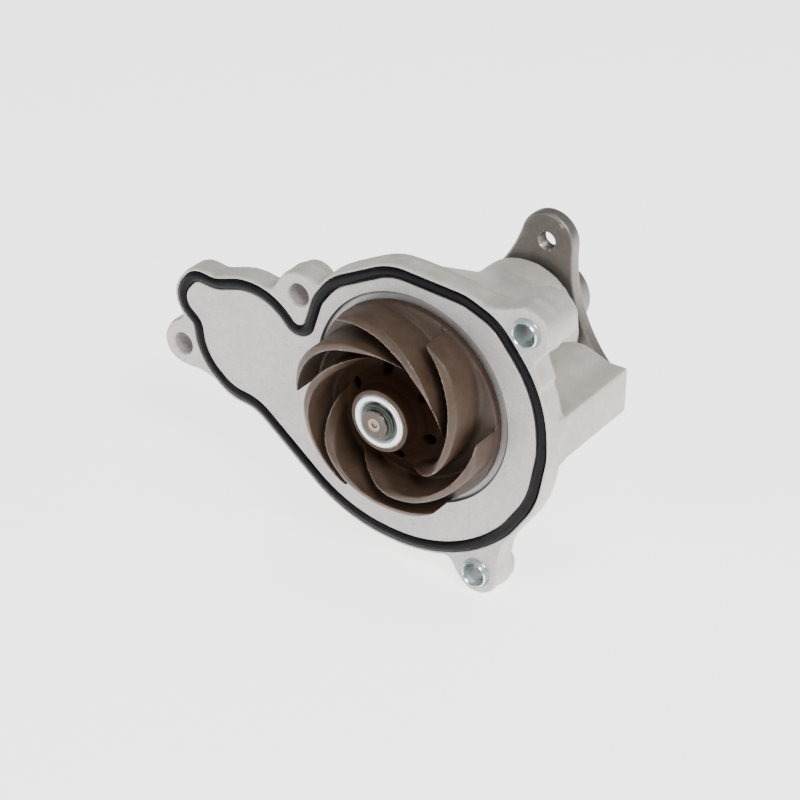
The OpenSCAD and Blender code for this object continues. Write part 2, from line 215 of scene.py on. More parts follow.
def resampled(points, spacing):
    """A closed line's points at even spacing."""
    closed = np.vstack([points, points[:1]])
    at = np.concatenate([[0], np.cumsum(np.linalg.norm(np.diff(closed, axis=0), axis=1))])
    count = int(at[-1] / spacing)
    along = np.linspace(0, at[-1], count, endpoint=False)
    return np.stack([np.interp(along, at, closed[:, k]) for k in (0, 1)], axis=1)


def softened(points, rounds):
    for _ in range(rounds):
        points = (np.roll(points, 1, 0) + 2 * points + np.roll(points, -1, 0)) / 4
    return points


def blade_outline():
    """Plan of the blade whose tip is at angle 0."""
    def middle(s):
        return polar(BLADE_ROOT_R + (IMPELLER_R + 1.0 - BLADE_ROOT_R) * s, BLADE_WRAP * (s - 1))

    sides = ([], [])
    for s in np.linspace(0, 1, 61):
        along = middle(s + 0.005) - middle(s - 0.005)
        along /= np.linalg.norm(along)
        half = BLADE_T / 2 * min(1, 0.35 + 4 * s)
        off = half * np.array([along[1], -along[0]])
        sides[0].append(middle(s) + off)
        sides[1].append(middle(s) - off)
    return np.array(sides[0] + sides[1][::-1])


def plate_outline():
    """Three arms joined by curved waists."""
    from_waist = ARM_R - WAIST_R
    centre_r = (HOLE_CIRCLE_R ** 2 - from_waist ** 2) / (HOLE_CIRCLE_R + 2 * from_waist)
    fillet_r = centre_r - WAIST_R
    points = []
    for a in ARM_ANGLES:
        end, waist = polar(HOLE_CIRCLE_R, a), polar(centre_r, a + 60)
        local = Matrix.Rotation(math.radians(-a), 2) @ Vector(waist - end)
        swing = heading(local)
        local = Matrix.Rotation(math.radians(-a - 60), 2) @ Vector(end - waist)
        half = 180 - abs(heading(local))
        points += [end + polar(ARM_R, a - swing + 2 * swing * i / 40) for i in range(41)]
        points += [waist + polar(fillet_r, a + 240 + half - 2 * half * i / 24)
                   for i in range(1, 24)]
    return np.array(points)


# ---------- solid fields: distance to a surface, sampled on a grid ----------


class Field:
    """A grid of points, and shapes as distances from it. Stations run along Y."""

    def __init__(self, low, high, step):
        self.low, self.step = np.array(low, np.float32), step
        counts = [int((h - l) / step) + 2 for l, h in zip(low, high)]
        axes = [l + step * np.arange(n, dtype=np.float32) for l, n in zip(low, counts)]
        self.x = axes[0][:, None, None]
        self.y = axes[1][None, :, None]
        self.z = axes[2][None, None, :]

    def disc(self, radius, at=(0, 0)):
        return np.hypot(self.x - at[0], self.z - at[1]) - radius

    def polygon(self, points):
        """Signed distance to a closed outline in x and z, negative inside."""
        points = np.asarray(points, np.float32)
        px, pz = np.broadcast_arrays(self.x, self.z)
        nearest = np.full(px.shape, 1e9, np.float32)
        inside = np.zeros(px.shape, bool)
        for a, b in zip(points, np.roll(points, -1, 0)):
            ex, ez = b - a
            wx, wz = px - a[0], pz - a[1]
            t = np.clip((wx * ex + wz * ez) / max(ex * ex + ez * ez, 1e-9), 0, 1)
            np.minimum(nearest, (wx - ex * t) ** 2 + (wz - ez * t) ** 2, out=nearest)
            if ez != 0:
                crosses = (pz >= a[1]) != (pz >= b[1])
                inside ^= crosses & (wx < ex * wz / ez)
        return np.sqrt(nearest) * np.where(inside, -1, 1).astype(np.float32)

    def prism(self, flat, start, end, rounding=0.0):
        """The outline that flat measures, from one station to another."""
        side = flat + rounding
        along = np.maximum(start + rounding - self.y, self.y - end + rounding)
        outside = np.hypot(np.maximum(side, 0), np.maximum(along, 0))
        return outside + np.minimum(np.maximum(side, along), 0) - rounding


def joined(a, b, k):
    """Union with a fillet of about k."""
    h = np.maximum(k - np.abs(a - b), 0) / k
    return np.minimum(a, b) - h * h * k / 4


def common(a, b, k):
    """Intersection with an edge rounded by about k."""
    h = np.maximum(k - np.abs(a - b), 0) / k
    return np.maximum(a, b) + h * h * k / 4


def net_points(field, inside, low, step):
    """A point in each cell that the zero level crosses, and each cell's index among them."""
    cells = tuple(n - 1 for n in field.shape)
    count = np.zeros(cells, np.int8)
    for i in (0, 1):
        for j in (0, 1):
            for k in (0, 1):
                count += inside[i:cells[0] + i, j:cells[1] + j, k:cells[2] + k]
    active = (count > 0) & (count < 8)
    at = np.argwhere(active)
    index = np.full(cells, -1, np.int64)
    index[active] = np.arange(len(at))
    total, hits = np.zeros((len(at), 3)), np.zeros(len(at))
    for axis in range(3):
        u, v = (axis + 1) % 3, (axis + 2) % 3
        for a in (0, 1):
            for b in (0, 1):
                corner = np.zeros(3, int)
                corner[u], corner[v] = a, b
                p = at + corner
                q = p.copy()
                q[:, axis] += 1
                fp, fq = field[tuple(p.T)], field[tuple(q.T)]
                crossed = (fp < 0) != (fq < 0)
                point = np.tile(corner.astype(float), (len(at), 1))
                point[:, axis] = fp / np.where(crossed, fp - fq, 1)
                total[crossed] += point[crossed]
                hits += crossed
    return low + step * (at + total / hits[:, None]), index


def net_faces(inside, index):
    """A face round each grid edge that the zero level crosses, turned outward."""
    faces = []
    for axis in range(3):
        u, v = (axis + 1) % 3, (axis + 2) % 3
        lower = np.take(inside, range(inside.shape[axis] - 1), axis)
        upper = np.take(inside, range(1, inside.shape[axis]), axis)
        edges = np.argwhere(lower != upper)
        out = lower[tuple(edges.T)]
        du, dv = np.eye(3, dtype=int)[u], np.eye(3, dtype=int)[v]
        ring = [index[tuple((edges - off).T)] for off in (0 * du, du, du + dv, dv)]
        quad = np.stack(ring, axis=1)
        quad[~out] = quad[~out][:, ::-1]
        faces.append(quad)
    return np.concatenate(faces)


def net(field, low, step):
    """Surface of the field's zero level: a vertex in each cell that it crosses."""
    # Values near zero are pushed off it, because they would leave slivers of faces
    least = 0.12 * step
    field = np.where(np.abs(field) < least, np.where(field < 0, -least, least), field)
    inside = field < 0
    points, index = net_points(field, inside, low, step)
    return points, net_faces(inside, index)


def relaxed(points, quads, rounds=2):
    """Moves each vertex half way to the middle of its neighbours, which evens out the net."""
    sources = quads.ravel()
    for _ in range(rounds):
        count = np.bincount(sources, minlength=len(points))
        middle = np.zeros_like(points)
        for turn in (1, 3):
            ends = np.roll(quads, turn, 1).ravel()
            for axis in range(3):
                middle[:, axis] += np.bincount(sources, points[ends, axis], len(points))
        points = (points + middle / (2 * count[:, None])) / 2
    return points


# ---------- meshes ----------


def new_object(name, points, faces):
    mesh = bpy.data.meshes.new(name)
    mesh.from_pydata(np.asarray(points).tolist(), [], [list(map(int, f)) for f in faces])
    mesh.update()
    obj = bpy.data.objects.new(name, mesh)
    bpy.context.scene.collection.objects.link(obj)
    return obj


def closed_object(name, points, faces):
    """A closed mesh, its points in millimetres, with its faces turned outward."""
    obj = new_object(name, np.array(points) * MM, faces)
    bm = bmesh.new()
    bm.from_mesh(obj.data)
    bmesh.ops.recalc_face_normals(bm, faces=bm.faces)
    bm.to_mesh(obj.data)
    bm.free()
    return obj


def net_object(name, field, grid):
    points, faces = net(field, grid.low, grid.step)
    points = relaxed(points, faces)
    mesh = bpy.data.meshes.new(name)
    mesh.vertices.add(len(points))
    mesh.vertices.foreach_set("co", (points * MM).astype(np.float32).ravel())
    mesh.loops.add(faces.size)
    mesh.loops.foreach_set("vertex_index", faces.astype(np.int32).ravel())
    mesh.polygons.add(len(faces))
    mesh.polygons.foreach_set("loop_start", np.arange(0, faces.size, 4, dtype=np.int32))
    mesh.update(calc_edges=True)
    obj = bpy.data.objects.new(name, mesh)
    bpy.context.scene.collection.objects.link(obj)
    return obj


def rounded_profile(points, radius, steps=4):
    """A closed radius-station outline with its corners rounded, apart from those on the axis."""
    points = [np.array(p, float) for p in points]
    out = []
    n = len(points)
    for i, at in enumerate(points):
        before, after = points[i - 1], points[(i + 1) % n]
        if at[0] < 1e-6:
            out.append(at)
            continue
        u, v = at - before, after - at
        lu, lv = np.linalg.norm(u), np.linalg.norm(v)
        u, v = u / lu, v / lv
        turn = math.acos(min(1, max(-1, u @ v)))
        if turn < math.radians(12):
            out.append(at)
            continue
        cut = min(radius * math.tan(turn / 2), 0.45 * lu, 0.45 * lv)
        for t in np.linspace(0, 1, steps + 1):
            a, b = at - u * cut * (1 - t), at + v * cut * t
            out.append(a * (1 - t) + b * t)
    return out


def lathe(name, profile, at=(0, 0), segments=144):
    """Turns a closed radius-station outline round a line along Y. Points are in millimetres."""
    profile = [tuple(map(float, p)) for p in profile]
    points, rings = [], []
    angles = np.linspace(0, 2 * math.pi, segments, endpoint=False)
    for r, y in profile:
        if r < 1e-6:
            rings.append([len(points)] * segments)
            points.append((at[0], y, at[1]))
        else:
            rings.append(list(range(len(points), len(points) + segments)))
            points += [(at[0] + r * math.cos(a), y, at[1] + r * math.sin(a)) for a in angles]
    faces = []
    for i in range(len(rings)):
        lower, upper = rings[i], rings[(i + 1) % len(rings)]
        for k in range(segments):
            loop = [lower[k], lower[(k + 1) % segments], upper[(k + 1) % segments], upper[k]]
            face = list(dict.fromkeys(loop))
            if len(face) > 2:
                faces.append(face)
    return closed_object(name, points, faces)


def extruded(name, outline, start, end):
    n = len(outline)
    points = [(p[0], start, p[1]) for p in outline] + [(p[0], end, p[1]) for p in outline]
    faces = [list(range(n)), list(range(2 * n - 1, n - 1, -1))]
    faces += [[i, i + n, (i + 1) % n + n, (i + 1) % n] for i in range(n)]
    return closed_object(name, points, faces)


def diced(obj, spacing):
    """Divides obj's faces along planes across X and Z, so that no face is large."""
    bm = bmesh.new()
    bm.from_mesh(obj.data)
    places = np.array([v.co for v in bm.verts])
    for axis in (0, 2):
        normal = [0, 0, 0]
        normal[axis] = 1
        low, high = places[:, axis].min(), places[:, axis].max()
        for at in np.arange(low + spacing * MM, high - 0.5 * spacing * MM, spacing * MM):
            place = [0, 0, 0]
            place[axis] = at
            bmesh.ops.bisect_plane(bm, geom=bm.verts[:] + bm.edges[:] + bm.faces[:],
                                   plane_co=place, plane_no=normal)
    bm.to_mesh(obj.data)
    bm.free()
    return obj


def tube_faces(rings, around, clockwise):
    """Faces between rings of points, one after another, with both ends closed."""
    faces = []
    for i in range(rings):
        for k in range(around):
            m = (k + 1) % around
            quad = [i * around + k, i * around + m, (i + 1) * around + m, (i + 1) * around + k]
            faces.append([quad[0], *quad[:0:-1]] if clockwise else quad)
    faces.append(list(range(around)))
    faces.append(list(range(rings * around + around - 1, rings * around - 1, -1)))
    return faces


def swept(name, path, profile):
    """Carries a closed profile of offset and station round a closed path in x and z."""
    ahead, behind = np.roll(path, -1, 0), np.roll(path, 1, 0)
    along = ahead - behind
    along /= np.linalg.norm(along, axis=1)[:, None]
    out = np.stack([-along[:, 1], along[:, 0]], axis=1)
    n, m = len(path), len(profile)
    points = []
    for p, o in zip(path, out):
        points += [(p[0] + o[0] * d, y, p[1] + o[1] * d) for d, y in profile]
    faces = []
    for i in range(n):
        j = (i + 1) % n
        faces += [[i * m + k, j * m + k, j * m + (k + 1) % m, i * m + (k + 1) % m]
                  for k in range(m)]
    return closed_object(name, points, faces)


def carved(obj, steps):
    """Runs booleans on obj in turn: (operation, tool). The tools are removed."""
    for i, (operation, tool) in enumerate(steps):
        cut = obj.modifiers.new(f"cut_{i}", "BOOLEAN")
        cut.operation, cut.object, cut.solver = operation, tool, "MANIFOLD"
    return applied(obj, [tool for _, tool in steps])


def applied(obj, spent=()):
    """Makes obj's modifiers part of its mesh."""
    graph = bpy.context.evaluated_depsgraph_get()
    mesh = bpy.data.meshes.new_from_object(obj.evaluated_get(graph))
    obj.modifiers.clear()
    obj.data = mesh
    for tool in spent:
        bpy.data.objects.remove(tool)
    return obj


def thinned(obj, faces):
    """Decimates obj to about that many triangles."""
    obj.data.calc_loop_triangles()
    have = len(obj.data.loop_triangles)
    if have > faces:
        thin = obj.modifiers.new("thin", "DECIMATE")
        thin.ratio = faces / have
        applied(obj)
    return obj


def face_values(mesh, key):
    """The centres or the normals of a mesh's faces, a row each."""
    values = np.zeros(len(mesh.polygons) * 3)
    mesh.polygons.foreach_get(key, values)
    return values.reshape(-1, 3)


def smooth(obj, angle):
    """Smooth shading, with edges sharper than the angle kept crisp."""
    mesh = obj.data
    mesh.shade_smooth()
    mesh.set_sharp_from_angle(angle=math.radians(angle))
    # Flat ends are shaded flat, so that long thin triangles don't show
    along = np.abs(face_values(mesh, "normal")[:, 1])
    mesh.polygons.foreach_set("use_smooth", along < 0.99999)
    return obj


# ---------- materials ----------

# Noise scales along X, Y and Z that give fine turning lines round the shaft
TURNED = (200, 4200, 200)


class Nodes:
    """A material's node tree, with helpers that add and wire its nodes."""

    def __init__(self, name):
        self.material = bpy.data.materials.new(name)
        self.material.use_nodes = True
        self.tree = self.material.node_tree
        self.shader = self.tree.nodes["Principled BSDF"]
        self.place = self.add("ShaderNodeTexCoord").outputs["Object"]
        self.normal = self.place.node.outputs["Normal"]

    def add(self, kind, **values):
        node = self.tree.nodes.new(kind)
        for key, value in values.items():
            setattr(node, key, value)
        return node

    def wire(self, source, target):
        if hasattr(source, "is_output"):
            self.tree.links.new(source, target)
        else:
            target.default_value = source

    def noise(self, scale, detail=3.0, roughness=0.5, place=None):
        node = self.add("ShaderNodeTexNoise")
        self.wire(place or self.place, node.inputs["Vector"])
        node.inputs["Scale"].default_value = scale
        node.inputs["Detail"].default_value = detail
        node.inputs["Roughness"].default_value = roughness
        return node.outputs["Fac"]

    def stretched(self, scale):
        node = self.add("ShaderNodeMapping")
        self.wire(self.place, node.inputs["Vector"])
        node.inputs["Scale"].default_value = scale
        return node.outputs["Vector"]

    def remap(self, value, low, high, to_low=0.0, to_high=1.0):
        node = self.add("ShaderNodeMapRange")
        self.wire(value, node.inputs["Value"])
        for key, number in zip(("From Min", "From Max", "To Min", "To Max"),
                               (low, high, to_low, to_high)):
            node.inputs[key].default_value = number
        return node.outputs["Result"]

    def mix(self, factor, a, b, blend="MIX"):
        node = self.add("ShaderNodeMix", data_type="RGBA", blend_type=blend)
        self.wire(factor, node.inputs[0])
        self.wire(a if hasattr(a, "is_output") else (*a, 1), node.inputs[6])
        self.wire(b if hasattr(b, "is_output") else (*b, 1), node.inputs[7])
        return node.outputs[2]

    def math(self, operation, a, b):
        node = self.add("ShaderNodeMath", operation=operation)
        self.wire(a, node.inputs[0])
        self.wire(b, node.inputs[1])
        return node.outputs[0]

    def radius(self):
        """Distance from the shaft axis, in millimetres."""
        flat = self.add("ShaderNodeVectorMath", operation="MULTIPLY")
        self.wire(self.place, flat.inputs[0])
        flat.inputs[1].default_value = (1 / MM, 0, 1 / MM)
        length = self.add("ShaderNodeVectorMath", operation="LENGTH")
        self.wire(flat.outputs["Vector"], length.inputs[0])
        return length.outputs["Value"]

    def along_shaft(self, vector, length):
        node = self.add("ShaderNodeVectorMath", operation="DOT_PRODUCT")
        self.wire(vector, node.inputs[0])
        node.inputs[1].default_value = (0, length, 0)
        return node.outputs["Value"]

    def station(self):
        """Place along the shaft, in millimetres."""
        return self.along_shaft(self.place, 1 / MM)

    def facing(self):
        """1 on faces that look out of the front of the pump, 0 on faces along the shaft."""
        return self.along_shaft(self.normal, -1)

    def edges(self, low, high):
        """1 on convex edges, 0 elsewhere."""
        return self.remap(self.add("ShaderNodeNewGeometry").outputs["Pointiness"], low, high)

    def hollows(self, low, high):
        """1 in concave corners, 0 elsewhere."""
        return self.remap(self.add("ShaderNodeNewGeometry").outputs["Pointiness"], high, low)

    def bump(self, height, distance, strength=1.0, under=None):
        node = self.add("ShaderNodeBump")
        node.inputs["Strength"].default_value = strength
        node.inputs["Distance"].default_value = distance
        self.wire(height, node.inputs["Height"])
        if under:
            self.wire(under, node.inputs["Normal"])
        return node.outputs["Normal"]

    def finish(self, color, roughness, normal, **sockets):
        self.wire(color, self.shader.inputs["Base Color"])
        self.wire(roughness, self.shader.inputs["Roughness"])
        self.wire(normal, self.shader.inputs["Normal"])
        for key, value in sockets.items():
            self.shader.inputs[key.replace("_", " ")].default_value = value
        return self.material


def cast_metal():
    """Die-cast aluminium skin: fine grain, cloudy tone, brighter edges and painted shade in concave
    corners.
    """
    n = Nodes("cast_aluminium")
    clouds = n.noise(45, 4, 0.6)
    grain = n.noise(1500, 3, 0.6)
    ripples = n.noise(220, 3, 0.55)
    color = n.mix(n.remap(clouds, 0.35, 0.7), (0.43, 0.395, 0.35), (0.54, 0.51, 0.465))
    color = n.mix(n.remap(ripples, 0.42, 0.68, 0.0, 0.6), color, (0.58, 0.56, 0.52))
    color = n.mix(n.remap(grain, 0.35, 0.7, 0.0, 0.5), color, (0.38, 0.35, 0.31))
    # Painted shade: concave corners are darkened
    color = n.mix(n.hollows(0.40, 0.49), color, (0.30, 0.27, 0.235))
    color = n.mix(n.edges(0.53, 0.62), color, (0.70, 0.68, 0.65))
    normal = n.bump(ripples, 0.00035, 0.6)
    normal = n.bump(grain, 0.00012, 0.8, normal)
    rough = n.remap(grain, 0.2, 0.8, 0.45, 0.62)
    return n.finish(color, rough, normal, Metallic=0.3, Specular_IOR_Level=0.5)


def machined_metal():
    """Milled aluminium: fine parallel cutter lines, faint stains and painted shade in the recess.
    """
    n = Nodes("machined_aluminium")
    lines = n.noise(1.0, 2, 0.5, n.stretched((5200, 120, 260)))
    clouds = n.noise(70, 4, 0.6)
    grain = n.noise(1900, 2, 0.5)
    speckle = n.noise(420, 4, 0.7)
    color = n.mix(n.remap(clouds, 0.3, 0.7), (0.355, 0.328, 0.320), (0.43, 0.405, 0.396))
    color = n.mix(n.remap(speckle, 0.42, 0.66, 0, 0.85), color, (0.295, 0.275, 0.27))
    color = n.mix(n.remap(grain, 0.4, 0.65, 0, 0.5), color, (0.53, 0.505, 0.49))
    # Painted shade darkens the machined faces inside the recess's radius, and a painted shadow line
    # runs where the recess meets the face
    radius = n.radius()
    color = n.mix(n.remap(radius, RECESS_R + 0.1, RECESS_R, 0, 0.4), color, (0.12, 0.118, 0.112))
    # Painted shadow: a dark line round the recess's edge
    line = n.math("MULTIPLY", n.remap(radius, RECESS_R - 0.8, RECESS_R - 0.5),
                  n.remap(radius, RECESS_R + 0.25, RECESS_R + 0.15))
    color = n.mix(line, color, (0.085, 0.09, 0.085))
    normal = n.bump(lines, 0.00002, 0.4)
    normal = n.bump(grain, 0.00003, 0.35, normal)
    rough = n.remap(lines, 0.3, 0.7, 0.38, 0.52)
    return n.finish(color, rough, normal, Metallic=0.25, Specular_IOR_Level=0.45)


def rubber():
    n = Nodes("seal_rubber")
    dust = n.noise(650, 4, 0.65)
    film = n.noise(90, 3, 0.5)
    color = n.mix(n.remap(dust, 0.45, 0.8, 0, 0.4), (0.004, 0.004, 0.005), (0.014, 0.014, 0.015))
    color = n.mix(n.edges(0.54, 0.66), color, (0.02, 0.02, 0.021))
    rough = n.remap(film, 0.3, 0.7, 0.26, 0.38)
    normal = n.bump(dust, 0.00004, 0.4)
    return n.finish(color, rough, normal, Specular_IOR_Level=0.08)


def zinc():
    n = Nodes("zinc_plate")
    clouds = n.noise(260, 3, 0.55)
    lines = n.noise(1.0, 2, 0.5, n.stretched((200, 5200, 200)))
    color = n.mix(n.remap(clouds, 0.3, 0.7), (0.54, 0.63, 0.63), (0.70, 0.79, 0.79))
    color = n.mix(n.edges(0.53, 0.62), color, (0.90, 0.93, 0.93))
    rough = n.remap(clouds, 0.3, 0.7, 0.16, 0.3)
    normal = n.bump(lines, 0.00002, 0.5)
    return n.finish(color, rough, normal, Metallic=0.85)


def phenolic():
    """Brown moulding compound: satin skin, filler grain, pale worn edges, and painted shade in the
    hub and between the blades.
    """
    n = Nodes("brown_phenolic")
    clouds = n.noise(95, 4, 0.62)
    filler = n.noise(1400, 4, 0.7)
    flow = n.noise(1.0, 3, 0.6, n.stretched((160, 420, 160)))
    color = n.mix(n.remap(clouds, 0.32, 0.7), (0.042, 0.024, 0.014), (0.070, 0.043, 0.028))
    color = n.mix(n.remap(flow, 0.45, 0.75, 0, 0.5), color, (0.078, 0.050, 0.034))
    color = n.mix(n.remap(filler, 0.5, 0.8, 0, 0.45), color, (0.105, 0.073, 0.055))
    station = n.station()
    radius = n.radius()
    # Painted shade: the hub and the channels between the blades are darkened, and their sheen is
    # lowered
    hub = n.math("MULTIPLY", n.remap(radius, 14, 18.5, 0.95, 0), n.remap(radius, 9.4, 9.75, 0.4, 1))
    channel = n.math("MULTIPLY", n.remap(radius, 14, 29, 1.0, 0.15),
                     n.remap(station, -15, -9.5, 0.2, 1))
    deep_shade = n.math("MAXIMUM", hub, channel)
    color = n.mix(deep_shade, color, (0.011, 0.005, 0.002))
    # Painted shade: the disc between the blades darkens towards the back of the impeller
    color = n.mix(n.remap(station, -8, -4, 0, 0.5), color, (0.016, 0.009, 0.005))
    wear = n.math("MULTIPLY", n.edges(0.52, 0.585), n.remap(n.noise(240, 2), 0.4, 0.62, 0.3, 1))
    wear = n.math("MULTIPLY", wear, n.remap(n.facing(), 0.15, 0.4))
    wear = n.math("MULTIPLY", wear, n.remap(deep_shade, 0.3, 0.8, 1, 0))
    color = n.mix(wear, color, (0.21, 0.165, 0.14))
    rough = n.math("ADD", n.remap(filler, 0.3, 0.7, 0.42, 0.54), n.remap(deep_shade, 0.2, 0.9, 0, 0.3))
    n.wire(n.remap(deep_shade, 0.1, 0.8, 0.34, 0.03), n.shader.inputs["Specular IOR Level"])
    normal = n.bump(flow, 0.00012, 0.4)
    normal = n.bump(filler, 0.00004, 0.45, normal)
    return n.finish(color, rough, normal)


def steel(name, dark, light, metallic=1.0, rough=(0.22, 0.38)):
    """Turned or ground steel: lines round the axis, faint cloudiness and bright edges."""
    n = Nodes(name)
    clouds = n.noise(150, 4, 0.6)
    turned = n.noise(1.0, 2, 0.5, n.stretched(TURNED))
    color = n.mix(n.remap(clouds, 0.3, 0.72), dark, light)
    bright = tuple(min(1.0, c * 1.25 + 0.05) for c in light)
    color = n.mix(n.edges(0.53, 0.64), color, bright)
    roughness = n.remap(turned, 0.25, 0.75, *rough)
    normal = n.bump(turned, 0.00002, 0.5)
    return n.finish(color, roughness, normal, Metallic=metallic)


def shaft_metal():
    """Ground shaft with a dark end face, painted shade on the nose's sides where they meet the
    insert, and a tan ring round its centre drilling.
    """
    n = Nodes("shaft_steel")
    clouds = n.noise(150, 4, 0.6)
    turned = n.noise(1.0, 2, 0.5, n.stretched(TURNED))
    radius = n.radius()
    front = n.mix(n.remap(clouds, 0.3, 0.7), (0.055, 0.047, 0.041), (0.09, 0.078, 0.069))
    front = n.mix(n.remap(radius, 2.1, 1.8), front, (0.24, 0.18, 0.135))
    side = n.mix(n.remap(clouds, 0.3, 0.7), (0.20, 0.19, 0.18), (0.32, 0.31, 0.295))
    # Painted shade: the nose's sides, in the gap between shaft and insert, are nearly black
    side = n.mix(n.remap(radius, NOSE_R + 0.3, NOSE_R), side, (0.045, 0.05, 0.047))
    color = n.mix(n.remap(radius, 4.4, 4.6), front, side)
    roughness = n.remap(turned, 0.25, 0.75, 0.18, 0.34)
    normal = n.bump(turned, 0.00002, 0.5)
    return n.finish(color, roughness, normal, Metallic=0.9)


def sintered():
    """Grey drive flange: satin, slightly mottled, with pale edges that are partly wear and partly a
    painted highlight.
    """
    n = Nodes("flange_steel")
    clouds = n.noise(120, 4, 0.6)
    grain = n.noise(1300, 3, 0.6)
    color = n.mix(n.remap(clouds, 0.3, 0.7), (0.145, 0.131, 0.118), (0.20, 0.183, 0.167))
    color = n.mix(n.remap(grain, 0.4, 0.75, 0, 0.4), color, (0.25, 0.235, 0.22))
    # Pale edges: partly wear, partly a painted highlight on the rims
    color = n.mix(n.edges(0.53, 0.62), color, (0.46, 0.44, 0.415))
    rough = n.remap(grain, 0.25, 0.75, 0.34, 0.5)
    normal = n.bump(grain, 0.00005, 0.5)
    return n.finish(color, rough, normal, Metallic=0.75)


def plain(name, dark, light, rough):
    n = Nodes(name)
    clouds = n.noise(500, 4, 0.6)
    color = n.mix(n.remap(clouds, 0.3, 0.7), dark, light)
    normal = n.bump(clouds, 0.00003, 0.4)
    return n.finish(color, n.remap(clouds, 0.3, 0.7, *rough), normal)


def paint(obj, *materials):
    obj.data.materials.clear()
    for m in materials:
        obj.data.materials.append(m)


def piece(obj, body, slot, node, *materials):
    """Finishes a piece that stands for a CAD node."""
    if materials:
        paint(obj, *materials)
    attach(obj, body)
    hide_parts(node)
    return obj


# ---------- housing ----------


def neck_field(g):
    slope = (NECK_R - BARREL_R) / (NECK_END - FLANGE_T)
    lean = 1 / math.hypot(1, slope)
    radius = NECK_R - slope * (g.y - FLANGE_T)
    cone = (g.disc(0) - radius) * lean
    cone = np.maximum(cone, np.maximum(BOSS_ROOT - g.y, g.y - NECK_END))
    reach, spacing = 60, 12
    angles = range(NECK_SIDE[0], NECK_SIDE[1] + 1, spacing)
    sector = g.polygon([(0, 0)] + [polar(reach, a) for a in angles])
    for a in NECK_RIBS:
        along, across = polar(1, a), polar(1, a + 90)
        rib = np.abs(g.x * across[0] + g.z * across[1]) - NECK_RIB_HALF
        rib = np.maximum(rib, -(g.x * along[0] + g.z * along[1]))
        sector = np.minimum(sector, rib)
    return common(cone, sector, 1.2)


def ear_web_field(g):
    """Leans from the upper ear back to the barrel."""
    start, end = UPPER_BOSS_L - 4, NECK_END - 8
    t = np.clip((g.y - start) / (end - start), 0, 1)
    radius = EAR_R + (BARREL_R - 0.2 - EAR_R) * t
    away = np.hypot(g.x - WEB_ROOT[0] * (1 - t), g.z - WEB_ROOT[1] * (1 - t)) - radius
    return np.maximum(away * 0.8, np.maximum(2 - g.y, g.y - NECK_END))


def lug_field(g):
    block = g.polygon([(LUG_X, LUG_BOTTOM), (LUG_X, LUG_TOP), (30, LUG_TOP), (10, 4),
                       (10, LUG_BOTTOM)])
    block = g.prism(block, FLANGE_T - 3, LUG_END, 0.9)
    crest = g.prism(g.disc(LUG_R, LUG_AT), FLANGE_T - 3, LUG_END, 0.9)
    return joined(block, crest, CAST_FILLET)


def flange_plan(g):
    """The flange seen from the front: the seal groove, its lip and the four ears."""
    flat = g.polygon(rounded_outline(GROOVE_CORNERS)) - LIP
    for web in EAR_WEBS:
        flat = joined(flat, g.polygon(web), CAST_FILLET)
    for hole in WING_HOLES + SLEEVE_HOLES:
        flat = joined(flat, g.disc(EAR_R, hole), CAST_FILLET)
    return np.minimum(flat, g.disc(NOTCH_R, NOTCH_AT))


def upper_boss_field(g):
    plan = joined(g.disc(EAR_R, UPPER_HOLE), g.polygon(UPPER_BOSS_WEB), CAST_FILLET)
    boss = g.prism(plan, BOSS_ROOT, UPPER_BOSS_L, CAST_EDGE)
    return joined(boss, ear_web_field(g), CAST_FILLET)


def rib_field(g, end):
    """A rib behind the wing, out to end."""
    length = math.hypot(*end)
    along = np.array(end) / length
    across = np.array([-along[1], along[0]])
    rib = [along * RIB_START + across * RIB_W / 2, along * length + across * RIB_W / 2,
           along * length - across * RIB_W / 2, along * RIB_START - across * RIB_W / 2]
    return g.prism(g.polygon(rib), BOSS_ROOT, FLANGE_T + RIB_H, CAST_EDGE)


def casting_field(g):
    """The casting before it is machined, with its cast fillets."""
    body = g.prism(flange_plan(g), -0.15, FLANGE_T, CAST_EDGE)
    body = joined(body, neck_field(g), CAST_FILLET)
    backing = g.prism(g.disc(RECESS_R + 0.9), FLANGE_T - 1, FLANGE_T + 4, CAST_EDGE)
    body = joined(body, backing, 2)
    barrel = g.prism(g.disc(BARREL_R), 10, BARREL_END + 0.2, 0.7)
    body = joined(body, barrel, 4)
    body = joined(body, upper_boss_field(g), 1.2)
    body = joined(body, lug_field(g), 1.8)
    lower = g.prism(g.disc(EAR_R, LOWER_HOLE), BOSS_ROOT, LOWER_BOSS_L, 1.2)
    body = joined(body, lower, 2)
    for hole in WING_HOLES:
        body = joined(body, g.prism(g.disc(EAR_R, hole), BOSS_ROOT, FLANGE_T + 3, CAST_EDGE), 1.5)
    for end in RIB_ENDS:
        body = joined(body, rib_field(g, end), CAST_FILLET)
    return body


def groove_tool():
    flare, over = 0.22, 1.0
    half = GROOVE_W / 2
    path = resampled(rounded_outline(GROOVE_CORNERS, -half), 0.7)
    profile = [(-half - flare, -over), (half + flare, -over), (half + flare, 0), (half, flare),
               (half, GROOVE_DEPTH), (-half, GROOVE_DEPTH), (-half, flare), (-half - flare, 0)]
    return swept("groove_tool", path, profile)


def bore_tool():
    chamfer = 0.15
    profile = [(0, -3), (RECESS_R + chamfer, -3), (RECESS_R + chamfer, 0), (RECESS_R, chamfer),
               (RECESS_R, RECESS_DEPTH - 0.2), (RECESS_R - 0.2, RECESS_DEPTH),
               (POCKET_R, RECESS_DEPTH), (POCKET_R, POCKET_DEPTH - 0.5),
               (POCKET_R - 0.5, POCKET_DEPTH), (CUP_R + FIT, POCKET_DEPTH),
               (CUP_R + FIT, CUP_END), (PASSAGE_R, CUP_END),
               (PASSAGE_R, BEARING_START), (BEARING_R + FIT, BEARING_START),
               (BEARING_R + FIT, BARREL_END - 1), (BEARING_R + 1, BARREL_END),
               (BEARING_R + 1, BARREL_END + 2), (0, BARREL_END + 2)]
    return lathe("bore_tool", profile, segments=192)


